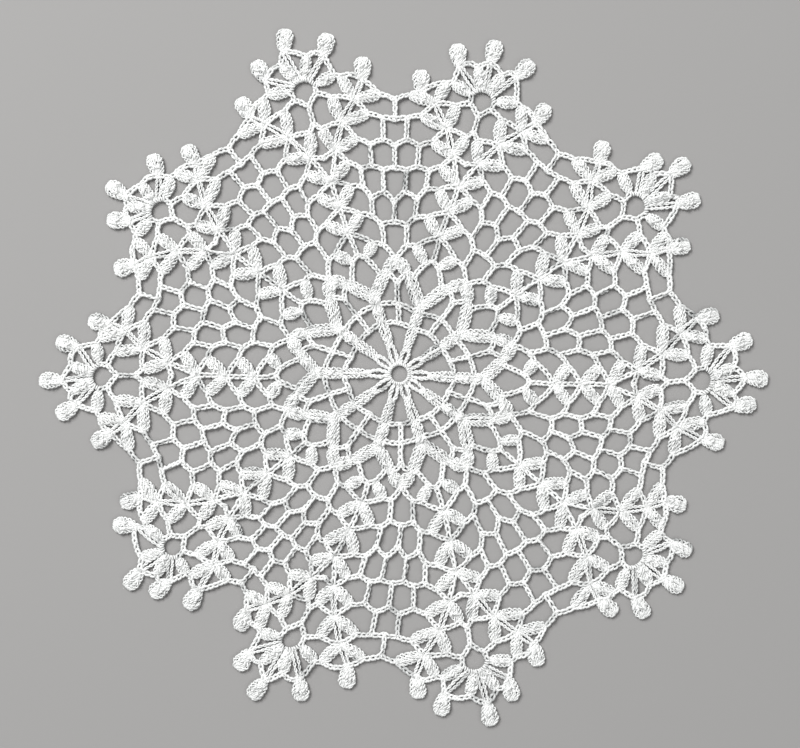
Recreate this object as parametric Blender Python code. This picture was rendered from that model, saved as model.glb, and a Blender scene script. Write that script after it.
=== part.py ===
"""Crocheted lace doily, one piece, lying flat.

The doily is worked in the round from a small ring. Ten spokes fork into ten petals, a stem of
leaf clusters grows over each fork, and each stem ends in a fan of clusters with bobbles. Honeycomb
net fills the gaps between the stems. The stitch chart below holds half of one repeat. It is mirrored
about the stem, repeated around the centre, and leant and drawn in by the amounts in the tables,
because hand work is uneven. The sheet is cut through at its large gaps, and is thicker on the
clusters and bobbles.

Chart sizes are in millimetres and degrees, clockwise from +Y. The mesh is in metres. The origin is
at the centre of the outline's box, on the underside, with +Z up.
"""
import math

import bmesh
import bpy
from mathutils.geometry import delaunay_2d_cdt

MM = 0.001
REPEATS = 10
SECTOR = 360.0 / REPEATS
STEM = 0.0
GAP = SECTOR / 2

# thickness of the work, in mm
NET_THICK = 1.4
KNOT_THICK = 2.0
LEAF_THICK = 2.5
BOBBLE_THICK = 3.3

# half the width of each kind of stitch, as (share of its length, half width in mm)
WIDTHS = {
    "chain": ((0.0, 0.95), (1.0, 0.95)),
    "post": ((0.0, 0.95), (1.0, 0.95)),
    "ring": ((0.0, 0.75), (1.0, 0.75)),
    "twin": ((0.0, 0.95), (0.4, 1.1), (1.0, 0.9)),
    "spoke": ((0.0, 1.9), (1.0, 1.9)),
    "pair": ((0.0, 1.2), (1.0, 1.7)),
    "band": ((0.0, 1.9), (1.0, 1.9)),
    "leaf": ((0.0, 0.9), (0.2, 1.6), (0.5, 2.1), (0.85, 1.95), (1.0, 1.3)),
    "fan": ((0.0, 0.9), (0.25, 1.8), (0.6, 2.3), (0.85, 2.1), (1.0, 1.4)),
    "bobble": ((0.0, 1.5), (0.25, 2.35), (0.72, 2.8), (0.93, 1.9), (1.0, 0.0)),
}

# half of one repeat: stitch points, as (turn from the stem, reach from the centre)
POINTS = {
    # ring, spokes and petals
    "hub": (STEM, 3.4), "hub_gap": (GAP, 3.4),
    "spoke_a": (STEM, 10.3), "spoke_b": (STEM, 17.8), "spoke_c": (STEM, 24.0), "fork": (STEM, 26.3),
    "arch_b": (GAP, 17.4), "arch_c": (GAP, 24.0), "arch_d": (GAP, 31.1),
    "band_a": (9.6, 33.0), "band_b": (12.2, 35.1), "band_c": (14.9, 37.1), "petal": (GAP, 39.1),
    # leaf clusters up the stem
    "heel": (3.2, 39.9), "base_1": (STEM, 41.4), "tip_1": (8.8, 44.6),
    "base_2": (STEM, 49.2), "tip_2": (6.3, 55.1), "base_3": (STEM, 58.8), "tip_3": (5.0, 65.8),
    "base_4": (STEM, 68.9), "tip_4": (5.7, 73.9),
    # the two branches
    "link": (STEM, 77.0), "fork_1": (3.1, 78.3), "outer_1": (8.8, 81.4), "inner_1": (1.3, 86.2),
    "join": (STEM, 88.6), "fork_2": (6.0, 87.2), "outer_2": (12.0, 89.6), "inner_2": (4.9, 95.8),
    "fork_3": (9.4, 94.7), "outer_3": (14.8, 96.4), "inner_3": (7.5, 102.6),
    "side_foot": (11.6, 100.9), "side_arch": (9.7, 103.2),
    # the fan
    "vee": (STEM, 94.7), "eye_a": (2.2, 98.2), "eye_b": (2.4, 100.9), "eye_d": (1.5, 102.3),
    "eye_c": (STEM, 102.9),
    "fan_out": (6.3, 103.6), "fan_in": (2.3, 111.8), "wing_foot": (5.9, 109.1),
    "wing_arch": (4.2, 112.0), "crown_foot": (STEM, 114.9),
    # net
    "a_low": (13.0, 44.1), "a_high": (13.2, 51.0),
    "b_low": (10.5, 54.0), "b_high": (10.8, 60.5), "b_low_gap": (GAP, 52.0), "b_high_gap": (GAP, 58.8),
    "c_low": (8.7, 64.6), "c_high": (8.9, 71.1), "c_low_gap": (14.8, 62.6), "c_high_gap": (14.8, 70.1),
    "d_low": (12.0, 71.8), "d_high": (12.0, 79.0), "d_low_gap": (GAP, 70.8), "d_high_gap": (GAP, 78.3),
    "e_low": (15.2, 80.7), "e_high": (15.2, 88.2), "f_low": (GAP, 87.6), "rim": (GAP, 94.4),
}

# stitches between the points
STITCHES = {
    "ring": [("hub", "hub_gap")],
    "pair": [("hub", "spoke_a")],
    "spoke": [("spoke_a", "spoke_b"), ("spoke_b", "spoke_c"), ("spoke_c", "fork")],
    "band": [("fork", "band_a"), ("band_a", "band_b"), ("band_b", "band_c"), ("band_c", "petal")],
    "leaf": [("heel", "tip_1"), ("base_2", "tip_2"), ("base_3", "tip_3"), ("base_4", "tip_4"),
             ("fork_1", "outer_1"), ("fork_1", "inner_1"), ("fork_2", "outer_2"), ("fork_2", "inner_2"),
             ("fork_3", "outer_3"), ("fork_3", "inner_3"), ("eye_b", "fan_out")],
    "fan": [("eye_c", "fan_in")],
    "twin": [("eye_d", "wing_foot"), ("eye_c", "crown_foot"), ("fork_1", "fork_2"), ("fork_2", "fork_3"),
             ("fork_3", "side_foot")],
    "post": [("arch_b", "arch_c"), ("arch_c", "arch_d"), ("base_1", "base_2"), ("base_2", "base_3"),
             ("base_3", "base_4"), ("base_4", "fork_1"),
             ("a_low", "a_high"), ("b_low", "b_high"), ("b_low_gap", "b_high_gap"),
             ("c_low", "c_high"), ("c_low_gap", "c_high_gap"), ("d_low", "d_high"),
             ("d_low_gap", "d_high_gap"), ("e_low", "e_high"), ("f_low", "rim")],
    "chain": [("spoke_b", "arch_b"), ("spoke_c", "arch_c"), ("band_b", "arch_d"), ("band_a", "heel"),
              ("heel", "base_1"), ("tip_1", "base_2"), ("tip_1", "a_low"), ("a_low", "petal"),
              ("tip_2", "base_3"), ("tip_2", "b_low"), ("b_low", "a_high"), ("a_high", "b_low_gap"),
              ("tip_3", "base_4"), ("tip_3", "c_low"), ("c_low", "b_high"), ("b_high", "c_low_gap"),
              ("c_low_gap", "b_high_gap"), ("tip_4", "fork_1"), ("fork_1", "link"), ("tip_4", "c_high"),
              ("c_high", "d_low"), ("d_low", "c_high_gap"), ("c_high_gap", "d_low_gap"),
              ("outer_1", "fork_2"), ("inner_1", "fork_2"), ("inner_1", "join"), ("outer_1", "d_high"),
              ("d_high", "e_low"), ("e_low", "d_high_gap"), ("join", "vee"), ("vee", "eye_a"),
              ("eye_a", "inner_2"), ("inner_2", "fork_3"), ("outer_2", "fork_3"), ("outer_2", "e_high"),
              ("e_high", "f_low"), ("outer_3", "side_foot"), ("side_foot", "side_arch"),
              ("side_arch", "inner_3"), ("outer_3", "rim"), ("eye_a", "eye_b"), ("eye_b", "eye_d"),
              ("eye_d", "eye_c"),
              ("fan_out", "inner_3"), ("fan_out", "wing_foot"), ("wing_foot", "wing_arch"),
              ("wing_arch", "fan_in"), ("fan_in", "crown_foot")],
}

# unevenness of the ten stems: how far each leans (degrees), and how far it is pushed out (mm), at
# five reaches
STEM_REACH = (26.0, 49.0, 69.0, 95.0, 123.0)
STEM_LEAN = (
    (-0.8, -1.5, -0.5, -1.0, -1.4), (3.5, 2.0, 1.7, 0.8, -0.2), (3.7, 3.8, 3.0, 1.3, 1.0),
    (0.0, 1.3, 2.2, 2.0, 1.5), (-0.2, 0.0, 2.0, 3.3, 3.1), (-1.7, -2.0, 1.5, 3.5, 7.0),
    (1.7, -1.0, -1.3, -1.2, -1.9), (1.0, -1.5, -0.3, -0.3, -1.2), (0.3, -0.3, 0.0, -1.5, -2.4),
    (-0.5, -2.0, -1.5, -0.7, -0.5),
)
STEM_PUSH = (
    (-2.7, -0.5, -1.8, -2.4, -3.4), (-1.4, -1.2, -1.1, -1.4, 0.3), (2.1, 4.0, 3.0, 3.4, 3.4),
    (0.3, 2.3, 2.3, 1.7, 0.0), (-1.4, -0.1, 1.3, 1.0, 2.1), (-0.3, -3.6, -2.8, -3.1, 0.0),
    (1.0, -2.9, -2.2, -2.4, -3.4), (2.1, 0.2, 0.2, 2.1, 0.7), (-0.3, -0.1, 0.6, -0.7, -2.7),
    (1.0, 1.9, 0.6, 2.1, 2.1),
)
# the same push in the gaps between the stems, at three reaches, the first gap being the one before stem 0
GAP_REACH = (39.0, 52.0, 95.0)
GAP_PUSH = (
    (0.0, 0.0, -0.7), (-1.0, -2.1, -1.7), (0.7, -0.7, 2.1), (1.0, 3.4, 1.0), (0.0, 0.3, 3.4),
    (-0.7, -0.3, 2.1), (-1.0, -1.4, -5.1), (1.0, 0.0, -0.7), (-0.3, 0.0, -1.7), (0.7, 2.4, 2.1),
)
# the five bobbles of each fan, left to right, as (turn of the top from the even stem, reach of the
# top, lean from the straight outward line), in degrees and mm; they move the feet of the chart
BOBBLE_FEET = (("side_foot", -1), ("wing_foot", -1), ("crown_foot", 1), ("wing_foot", 1), ("side_foot", 1))
BOBBLES = (
    ((-13.9, 104.2, -5), (-8.0, 114.6, -15), (-1.7, 118.8, 0), (5.2, 116.1, 25), (10.9, 105.1, 5)),
    ((-12.7, 106.0, -30), (-3.5, 116.4, 10), (-0.3, 123.0, 0), (5.7, 119.1, 15), (12.1, 108.8, 15)),
    ((-10.5, 111.2, 0), (-5.8, 121.2, -15), (0.9, 126.1, 5), (4.7, 122.4, -15), (12.2, 113.6, 0)),
    ((-11.3, 108.0, -15), (-4.5, 117.1, -5), (1.2, 121.8, -10), (8.6, 118.6, 15), (11.9, 110.6, -10)),
    ((-7.4, 110.6, 15), (-1.1, 118.4, 10), (3.4, 124.4, 5), (11.3, 117.6, 20), (14.5, 111.2, -5)),
    ((-8.4, 109.0, -5), (-1.3, 116.8, -20), (6.7, 122.0, 15), (10.9, 115.3, 10), (14.1, 103.6, -10)),
    ((-11.9, 108.3, -10), (-5.7, 113.9, 5), (-2.2, 118.6, -15), (8.2, 110.7, 30), (11.0, 105.2, 5)),
    ((-13.0, 107.7, -20), (-7.1, 118.0, -25), (-1.1, 123.2, 0), (5.5, 117.9, 10), (9.8, 107.9, 0)),
    ((-16.0, 103.8, -35), (-8.2, 113.0, -25), (-3.0, 119.2, 0), (5.6, 113.1, 30), (10.9, 107.0, 15)),
    ((-12.1, 109.0, 0), (-6.8, 117.8, -5), (-0.2, 124.2, 25), (6.2, 118.9, 25), (11.5, 109.1, 10)),
)
BOBBLE_LENGTH = 7.7          # foot to top, in mm
# the chain arches beside the bobbles, as (middle, foot, cluster tip), and how far they rise, in mm;
# their middles follow the feet
ARCHES = (("wing_arch", "wing_foot", "fan_in"), ("side_arch", "side_foot", "inner_3"))
ARCH_RISE = 1.3

# the gaps that are cut through
MOST_GAPS = 300
SMALLEST_GAP = 4.0           # mm, the longest way across
SMALLEST_ROOM = 0.6          # mm, from the gap's middle to the nearest yarn
TURN_BETWEEN_CORNERS = math.radians(14.0)
CORNER_SPACING = 0.9         # mm
STRAIGHT_WITHIN = 0.18       # mm, a corner that stands out less than this is dropped
MITRE_LIMIT = 1.6            # how far a corner stands out, in half widths of its stitch
CHAIN_WIDTH = 0.95           # half widths along the outer edge, in mm
TIP_WIDTH = 1.25
CLUSTER_TIPS = ("outer_3", "inner_3", "fan_in", "fan_out")
BOBBLE_SHARES = (0.2, 0.45, 0.78, 0.95)
LOOP_STEPS = 9               # the longest loop that is cut off the outline, in steps

COTTON = (0.86, 0.87, 0.86, 1.0)
COTTON_ROUGHNESS = 0.85


def along(reaches, values, reach):
    """Read a table between its reaches; inside the first one it fades to nothing at the centre."""
    if reach <= reaches[0]:
        return values[0] * reach / reaches[0]
    for low, high, before, after in zip(reaches, reaches[1:], values, values[1:]):
        if reach <= high:
            return before + (after - before) * (reach - low) / (high - low)
    return values[-1]


def smooth_step(values, share):
    """Catmull-Rom curve between the middle two of four values."""
    a, b, c, d = values
    return (b + 0.5 * share * (c - a + share * (2 * a - 5 * b + 4 * c - d
                                                + share * (3 * b - a - 3 * c + d))))


def polar(turn, reach):
    """Point in mm, clockwise from +Y."""
    angle = math.radians(turn)
    return (reach * math.sin(angle), reach * math.cos(angle))


def place(stem, turn, reach):
    """Uneven place of a chart point beside one stem; a negative turn is to its left."""
    whole = math.floor(turn / SECTOR)
    lean_reach = max(reach, STEM_REACH[0])
    leans = [along(STEM_REACH, STEM_LEAN[(stem + whole + step) % REPEATS], lean_reach)
             for step in (-1, 0, 1, 2)]
    lean = smooth_step(leans, turn / SECTOR - whole)
    near_stem = 0.5 + 0.5 * math.cos(math.pi * turn / GAP)
    gap = (stem + (turn > 0)) % REPEATS
    push = (near_stem * along(STEM_REACH, STEM_PUSH[stem], reach)
            + (1 - near_stem) * along(GAP_REACH, GAP_PUSH[gap], reach))
    return polar(SECTOR * (stem + 0.5) + turn + lean, reach + push)


def stitch_key(name, stem, side):
    """A point on the stem or in a gap is shared by the two halves that meet there."""
    turn = POINTS[name][0]
    if turn == STEM:
        return (name, stem, "stem")
    if turn == GAP:
        return (name, (stem + (side > 0)) % REPEATS, "gap")
    return (name, stem, side)


def work_chart():
    """All stitch points, and the stitches between them as {(from, to): kind}."""
    points = {}
    stitches = {}
    for stem in range(REPEATS):
        for side in (-1, 1):
            for name, (turn, reach) in POINTS.items():
                points.setdefault(stitch_key(name, stem, side), place(stem, side * turn, reach))
            for kind, pairs in STITCHES.items():
                for start, end in pairs:
                    stitches[(stitch_key(start, stem, side), stitch_key(end, stem, side))] = kind
        for (foot, side), (turn, reach, lean) in zip(BOBBLE_FEET, BOBBLES[stem]):
            foot_key = stitch_key(foot, stem, side)
            top = polar(SECTOR * (stem + 0.5) + turn, reach)
            run = polar(SECTOR * (stem + 0.5) + turn + lean, BOBBLE_LENGTH)
            points[foot_key] = (top[0] - run[0], top[1] - run[1])
            points[("top", foot_key)] = top
            stitches[(foot_key, ("top", foot_key))] = "bobble"
        for side in (-1, 1):
            for arch, foot, tip in ARCHES:
                x, y = mix(points[stitch_key(foot, stem, side)], points[stitch_key(tip, stem, side)], 0.5)
                rise = 1 + ARCH_RISE / math.hypot(x, y)
                points[stitch_key(arch, stem, side)] = (x * rise, y * rise)
    return points, stitches


def mix(start, end, share):
    return (start[0] + (end[0] - start[0]) * share, start[1] + (end[1] - start[1]) * share)


def half_width(kind, share):
    """Half the width of a stitch part way along it."""
    profile = WIDTHS[kind]
    for (low, before), (high, after) in zip(profile, profile[1:]):
        if share <= high:
            return before + (after - before) * (share - low) / (high - low)
    return profile[-1][1]


def clearance(spot, strands):
    """Distance from a spot to the nearest yarn edge, negative inside a stitch."""
    nearest = math.inf
    for start, end, kind in strands:
        run = (end[0] - start[0], end[1] - start[1])
        to_spot = (spot[0] - start[0], spot[1] - start[1])
        share = (to_spot[0] * run[0] + to_spot[1] * run[1]) / (run[0] ** 2 + run[1] ** 2)
        share = min(1.0, max(0.0, share))
        gap = math.dist(spot, mix(start, end, share)) - half_width(kind, share)
        nearest = min(nearest, gap)
    return nearest


def trace_loops(points, stitches):
    """Faces of the chart, each a list of point keys; inner faces run anticlockwise."""
    neighbours = {key: [] for key in points}
    for start, end in stitches:
        neighbours[start].append(end)
        neighbours[end].append(start)
    for key, others in neighbours.items():
        here = points[key]
        others.sort(key=lambda other: math.atan2(points[other][1] - here[1], points[other][0] - here[0]))
    unused = {(start, end): None for start in neighbours for end in neighbours[start]}
    loops = []
    while unused:
        first = next(iter(unused))
        loop = []
        step = first
        while True:
            unused.pop(step)
            loop.append(step[0])
            around = neighbours[step[1]]
            step = (step[1], around[around.index(step[0]) - 1])
            if step == first:
                break
        loops.append(loop)
    return loops


def area(corners):
    return 0.5 * sum(a[0] * b[1] - b[0] * a[1] for a, b in zip(corners, corners[1:] + corners[:1]))


def loop_strands(loop, points, stitches):
    """The stitches round a loop, each from its thin end."""
    strands = []
    for start, end in zip(loop, loop[1:] + loop[:1]):
        if (start, end) not in stitches:
            start, end = end, start
        strands.append((points[start], points[end], stitches[(start, end)]))
    return strands


def roomiest_spot(corners, strands):
    """The spot in a loop that is furthest from the yarn, found by short steps from its middle."""
    spot = (sum(x for x, _ in corners) / len(corners), sum(y for _, y in corners) / len(corners))
    best = clearance(spot, strands)
    step = 2.0
    while step > 0.1:
        trials = [(spot[0] + step * dx, spot[1] + step * dy)
                  for dx, dy in ((1, 0), (-1, 0), (0, 1), (0, -1))]
        room, trial = max((clearance(trial, strands), trial) for trial in trials)
        if room > best and contains(corners, trial):
            best, spot = room, trial
        else:
            step /= 2
    return spot, best


def reach_to_yarn(spot, heading, strands):
    """How far a straight line runs from a spot before it meets yarn."""
    distance = 0.0
    while True:
        place_now = (spot[0] + distance * math.cos(heading), spot[1] + distance * math.sin(heading))
        room = clearance(place_now, strands)
        if room < 0.02:
            return distance
        distance += room


def drop_flat_corners(corners):
    """Leave out corners that barely stand out from the line between their neighbours."""
    kept = list(corners)
    index = 0
    while index < len(kept) and len(kept) > 4:
        before, here, after = kept[index - 1], kept[index], kept[(index + 1) % len(kept)]
        across = (after[0] - before[0], after[1] - before[1])
        twice_area = across[0] * (here[1] - before[1]) - across[1] * (here[0] - before[0])
        if abs(twice_area) < STRAIGHT_WITHIN * math.hypot(*across) or math.dist(here, before) < CORNER_SPACING:
            kept.pop(index)
        else:
            index += 1
    return kept


def cut_gap(loop, points, stitches):
    """Outline of the gap inside a loop of stitches, or None where the yarn fills it."""
    corners = [points[key] for key in loop]
    strands = loop_strands(loop, points, stitches)
    spot, room = roomiest_spot(corners, strands)
    if room < SMALLEST_ROOM or not contains(corners, spot):
        return None
    aims = corners + [mix(start, end, 0.6) for start, end, kind in strands if kind == "leaf"]
    headings = sorted(math.atan2(aim[1] - spot[1], aim[0] - spot[0]) for aim in aims)
    spread = [headings[0]]
    for heading in headings[1:]:
        if heading - spread[-1] > TURN_BETWEEN_CORNERS:
            spread.append(heading)
    if spread[0] + 2 * math.pi - spread[-1] < TURN_BETWEEN_CORNERS:
        spread.pop()
    outline = []
    for heading in spread:
        distance = reach_to_yarn(spot, heading, strands)
        outline.append((spot[0] + distance * math.cos(heading), spot[1] + distance * math.sin(heading)))
    return drop_flat_corners(outline)


def longest_across(outline):
    return max(math.dist(a, b) for a in outline for b in outline)


def choose_gaps(loops, points, stitches):
    """The ring's eye, then the largest gaps kind by kind; the last kind gives its largest ones."""
    families = {}
    for loop in loops:
        outline = cut_gap(loop, points, stitches)
        if outline and longest_across(outline) > SMALLEST_GAP:
            families.setdefault(frozenset(key[0] for key in loop), []).append(outline)
    ranked = sorted(families.values(),
                    key=lambda outlines: (len(outlines) > 1, -sum(map(area, outlines)) / len(outlines)))
    chosen = []
    for outlines in ranked:
        outlines.sort(key=area, reverse=True)
        chosen.extend(outlines[:MOST_GAPS - len(chosen)])
    return chosen


def outer_edge(loop, points):
    """Outline of the whole doily: half a stitch outside the outer loop, and round each bobble."""
    first = next(index for index, key in enumerate(loop) if key[0] == "rim")
    loop = loop[first:] + loop[:first]
    outline = []
    for before_key, key, after_key in zip(loop[-1:] + loop[:-1], loop, loop[1:] + loop[:1]):
        before, here, after = points[before_key], points[key], points[after_key]
        if key[0] == "top":
            outline.extend(bobble_edge(before, here))
            continue
        inward = side_of(before, here)
        onward = side_of(here, after)
        out = (inward[0] + onward[0], inward[1] + onward[1])
        size = math.hypot(*out)
        reach = min(MITRE_LIMIT, 2.0 / size) * (TIP_WIDTH if key[0] in CLUSTER_TIPS else CHAIN_WIDTH)
        outline.append((here[0] + out[0] / size * reach, here[1] + out[1] / size * reach))
    return untangle(outline)


def crossing(a, b, c, d):
    """Where the step a to b crosses the step c to d, or None."""
    ab = (b[0] - a[0], b[1] - a[1])
    cd = (d[0] - c[0], d[1] - c[1])
    ac = (c[0] - a[0], c[1] - a[1])
    turn = ab[0] * cd[1] - ab[1] * cd[0]
    if abs(turn) < 1e-9:
        return None
    on_ab = (ac[0] * cd[1] - ac[1] * cd[0]) / turn
    on_cd = (ac[0] * ab[1] - ac[1] * ab[0]) / turn
    return mix(a, b, on_ab) if 0 <= on_ab <= 1 and 0 <= on_cd <= 1 else None


def untangle(outline):
    """Cut off the small loops where the outline doubles back over itself at a foot of a bobble."""
    index = 0
    while index < len(outline) - 3:
        for ahead in range(min(LOOP_STEPS, len(outline) - index - 2), 1, -1):
            meet = crossing(*outline[index:index + 2], *outline[index + ahead:index + ahead + 2])
            if meet:
                outline[index + 1:index + ahead + 1] = [meet]
                break
        else:
            index += 1
    return drop_flat_corners(outline)


def side_of(start, end):
    """Unit vector to the outside of a step along the outer loop, which runs clockwise."""
    length = math.dist(start, end)
    return (-(end[1] - start[1]) / length, (end[0] - start[0]) / length)


def bobble_edge(foot, top):
    """Both sides of a bobble, up one and down the other."""
    side = side_of(foot, top)
    edge = []
    for sign, shares in ((1, BOBBLE_SHARES), (-1, BOBBLE_SHARES[::-1])):
        for share in shares:
            middle = mix(foot, top, share)
            width = sign * half_width("bobble", share)
            edge.append((middle[0] + side[0] * width, middle[1] + side[1] * width))
    return edge


def crests(points, stitches):
    """Raised spots (x, y, thickness): cluster and bobble middles, and the knots that they grow from."""
    raised = []
    for (start, end), kind in stitches.items():
        if kind in ("leaf", "fan"):
            raised.append((*mix(points[start], points[end], 0.55), LEAF_THICK))
        if kind == "bobble":
            raised.append((*mix(points[start], points[end], 0.45), BOBBLE_THICK))
            raised.append((*mix(points[start], points[end], 0.8), BOBBLE_THICK - 0.4))
    for key, spot in points.items():
        if key[0] in ("base_2", "base_3", "base_4", "fork_1", "fork_2", "fork_3", "fork"):
            raised.append((*spot, KNOT_THICK))
    return raised


def contains(outline, spot):
    """Whether a spot lies inside an outline."""
    inside = False
    for (ax, ay), (bx, by) in zip(outline, outline[1:] + outline[:1]):
        if (ay > spot[1]) != (by > spot[1]) and spot[0] < ax + (spot[1] - ay) * (bx - ax) / (by - ay):
            inside = not inside
    return inside


def triangulate(rims, inner_spots):
    """Triangles over the doily between its outer edge, rims[0], and the gaps, the other rims."""
    spots = []
    edges = []
    rim_of = {}
    for number, rim in enumerate(rims):
        first = len(spots)
        for index, spot in enumerate(rim):
            rim_of[len(spots)] = number
            edges.append((first + index, first + (index + 1) % len(rim)))
            spots.append(spot)
    spots.extend(inner_spots)
    out_spots, _, faces, _, _, _ = delaunay_2d_cdt(spots, edges, [], 0, 1e-6)
    if len(out_spots) != len(spots):
        raise ValueError("two rims of the doily touch or cross")
    kept = []
    for face in faces:
        numbers = {rim_of.get(corner) for corner in face}
        if len(numbers) == 1 and None not in numbers:
            number = numbers.pop()
            middle = (sum(spots[c][0] for c in face) / 3, sum(spots[c][1] for c in face) / 3)
            if contains(rims[number], middle) != (number == 0):
                continue
        kept.append(tuple(face))
    return kept


def build_sheet(rims, raised):
    """Closed mesh: a flat underside, upright edges, and a top that swells over the raised spots."""
    xs = [x for x, _ in rims[0]]
    ys = [y for _, y in rims[0]]
    middle = ((min(xs) + max(xs)) / 2, (min(ys) + max(ys)) / 2)

    def vertex(mesh, spot, height):
        return mesh.verts.new(((spot[0] - middle[0]) * MM, (spot[1] - middle[1]) * MM, height * MM))

    mesh = bmesh.new()
    rim_spots = [spot for rim in rims for spot in rim]
    bottom = [vertex(mesh, spot, 0.0) for spot in rim_spots]
    top = [vertex(mesh, spot, NET_THICK) for spot in rim_spots]
    top += [vertex(mesh, spot, spot[2]) for spot in raised]
    for face in triangulate(rims, [spot[:2] for spot in raised]):
        mesh.faces.new([top[corner] for corner in face])
    for face in triangulate(rims, []):
        mesh.faces.new([bottom[corner] for corner in reversed(face)])
    first = 0
    for rim in rims:
        for index in range(len(rim)):
            here = first + index
            after = first + (index + 1) % len(rim)
            mesh.faces.new([bottom[here], bottom[after], top[after], top[here]])
        first += len(rim)
    bmesh.ops.recalc_face_normals(mesh, faces=mesh.faces)
    bmesh.ops.triangulate(mesh, faces=mesh.faces)
    data = bpy.data.meshes.new("doily")
    mesh.to_mesh(data)
    mesh.free()
    return data


def cotton():
    material = bpy.data.materials.new("white_cotton")
    material.use_nodes = True
    shader = material.node_tree.nodes["Principled BSDF"]
    shader.inputs["Base Color"].default_value = COTTON
    shader.inputs["Roughness"].default_value = COTTON_ROUGHNESS
    shader.inputs["Metallic"].default_value = 0.0
    return material


def main():
    for old in list(bpy.data.objects):
        bpy.data.objects.remove(old)
    points, stitches = work_chart()
    loops = trace_loops(points, stitches)
    loops.sort(key=lambda loop: area([points[key] for key in loop]))
    gaps = choose_gaps(loops[1:], points, stitches)
    outline = outer_edge(loops[0], points)
    sheet = build_sheet([outline] + gaps, crests(points, stitches))
    sheet.materials.append(cotton())
    doily = bpy.data.objects.new("doily", sheet)
    collection = bpy.data.collections.new("lace_doily")
    bpy.context.scene.collection.children.link(collection)
    collection.objects.link(doily)
    print("doily:", len(gaps), "gaps,", len(sheet.polygons), "triangles")


main()
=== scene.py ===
"""Crocheted lace doily, laid flat: every stitch is laid as thread, within 1 mm of its place in the solid.

Chart sizes are in millimetres and degrees, clockwise from +Y. The meshes are in metres, with the
origin at the centre of the doily's outline, on its underside.
"""
import math
from collections import defaultdict

import bpy
import numpy as np
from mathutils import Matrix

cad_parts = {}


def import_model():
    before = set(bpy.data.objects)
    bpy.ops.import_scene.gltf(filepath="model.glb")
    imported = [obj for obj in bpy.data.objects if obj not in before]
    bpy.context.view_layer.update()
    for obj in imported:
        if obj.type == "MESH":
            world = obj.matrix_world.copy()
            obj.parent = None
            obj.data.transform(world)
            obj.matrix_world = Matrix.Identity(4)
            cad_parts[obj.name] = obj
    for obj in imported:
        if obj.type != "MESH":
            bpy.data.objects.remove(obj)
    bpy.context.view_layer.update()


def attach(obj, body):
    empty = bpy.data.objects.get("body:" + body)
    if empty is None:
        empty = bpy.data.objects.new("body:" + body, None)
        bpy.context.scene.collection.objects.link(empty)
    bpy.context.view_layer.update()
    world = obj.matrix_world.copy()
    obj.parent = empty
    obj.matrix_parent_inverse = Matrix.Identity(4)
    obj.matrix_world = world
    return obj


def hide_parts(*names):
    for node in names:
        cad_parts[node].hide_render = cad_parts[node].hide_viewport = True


MM = 0.001
REPEATS = 10
SECTOR = 360.0 / REPEATS
STEM = 0.0
GAP = SECTOR / 2
MIDDLE = (1.511, -1.232)       # the outline's box middle, from the chart's centre
SEED = 11
CIRCLE = 2 * math.pi
LAST_PHASE = 6.28              # random phases are drawn from 0 to this, in radians

# thread, in mm
THREAD = 0.36                  # radius of the cotton thread
SIDES = 4                      # corners round a thread
BED = 0.80                     # height of a chain's middle
RAISED = BED + 0.1             # height of knots, and of trebles that stand in pairs
LOWEST = 0.02                  # the least height of any corner
WIND_POINTS = 7                # points on each turn of a wound thread
CURVE_STEPS = 12               # steps between two points of a smooth line, before it is made even
STEEP = 0.9                    # a thread that starts steeper than this has its corners set out from +X
TINY = 1e-9                    # the least length that is divided by

# chains and posts, in mm
CHAIN_THREAD = 0.46            # chains are worked looser, so their thread lies fuller
CHAIN_PITCH = 1.8              # length of one chain
POST_PITCH = 2.1               # length of one loop of a post
CHAIN_HALF = 0.66              # from the chain's middle to the middle of its outer thread
ARCH_BOW = 0.07                # how far a chain bows outwards, as a share of its width
POST_BOW = 0.12                # spread of a post's bow to either side
CHAIN_SLACK = 0.07             # spread of a loop's width, as a share
CHAIN_RISE = (0.9, 0.2)        # least height of a loop as a share of the full one, and its spread
CHAIN_ROLL = 0.18              # spread of how far a chain lies rolled over, in radians
POST_ROLL = 0.45
ROLL_SWING = 0.30              # how far a chain rolls to and fro along its length, in radians
ROLL_RATE = 2.1                # how fast it does, in radians a stitch
JITTER = 0.03                  # spread of every point of a chain

# one chain stitch: (along, in pitches; across, in half widths; up, in thread radii)
CHAIN_STITCH = (
    (0.00, -0.30, 0.0), (0.36, -0.84, 0.7), (0.86, -1.00, 0.1), (1.24, -0.42, -0.6),
    (1.24, 0.42, -0.6), (0.86, 1.00, 0.1), (0.36, 0.84, 0.7), (0.00, 0.30, 0.0),
    (0.15, 0.05, -1.15), (0.85, -0.10, -1.1),
)

# trebles, in mm
TREBLE_HALF = 0.58             # half the width of one treble
LEAST_ROOM = 0.1               # the outer trebles of a cluster stay at least this far from its middle
SHOULDER = 0.7                 # power of the arch that a cluster rises by; the lower, the squarer
OUTER_DROP = 0.75              # how much less the outer trebles of a cluster rise, as a share
STRAY = 0.06                   # spread of a treble's place across the cluster
SWAY = 0.09                    # how far a treble wanders to the sides, and up and down
HEAVE = 0.10
SWAY_RATE = (6, 12)            # how fast it wanders, in radians over its length
PLY_OFFSET = 0.34              # from a treble's middle to the middle of its thread
PLY_SWELL = (0.75, 0.35)       # share of that offset at a treble's ends, and what is added in its middle
PLY_RIPPLE = 0.12              # how much the offset swells and shrinks three times a turn, as a share
PLY_RISE = 0.45                # height of a treble's winding, as a share of its width
PLY_THREAD = (0.84, 0.10)      # share of the thread's radius at its ends, and what is added in its middle
EDGE_SWELL = 1.4               # how much wider the outer trebles of a cluster are wound
STAGGER = (1.2, 0.3)           # turn of the winding from one treble to the next, and its spread, in radians
TURN_SPREAD = 0.03             # spread of the turns that a treble is wound, as a share
TWIST_SWAY = 0.35              # how far the winding runs ahead and behind, in radians
TWIST_RATE = (4, 9)
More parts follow.
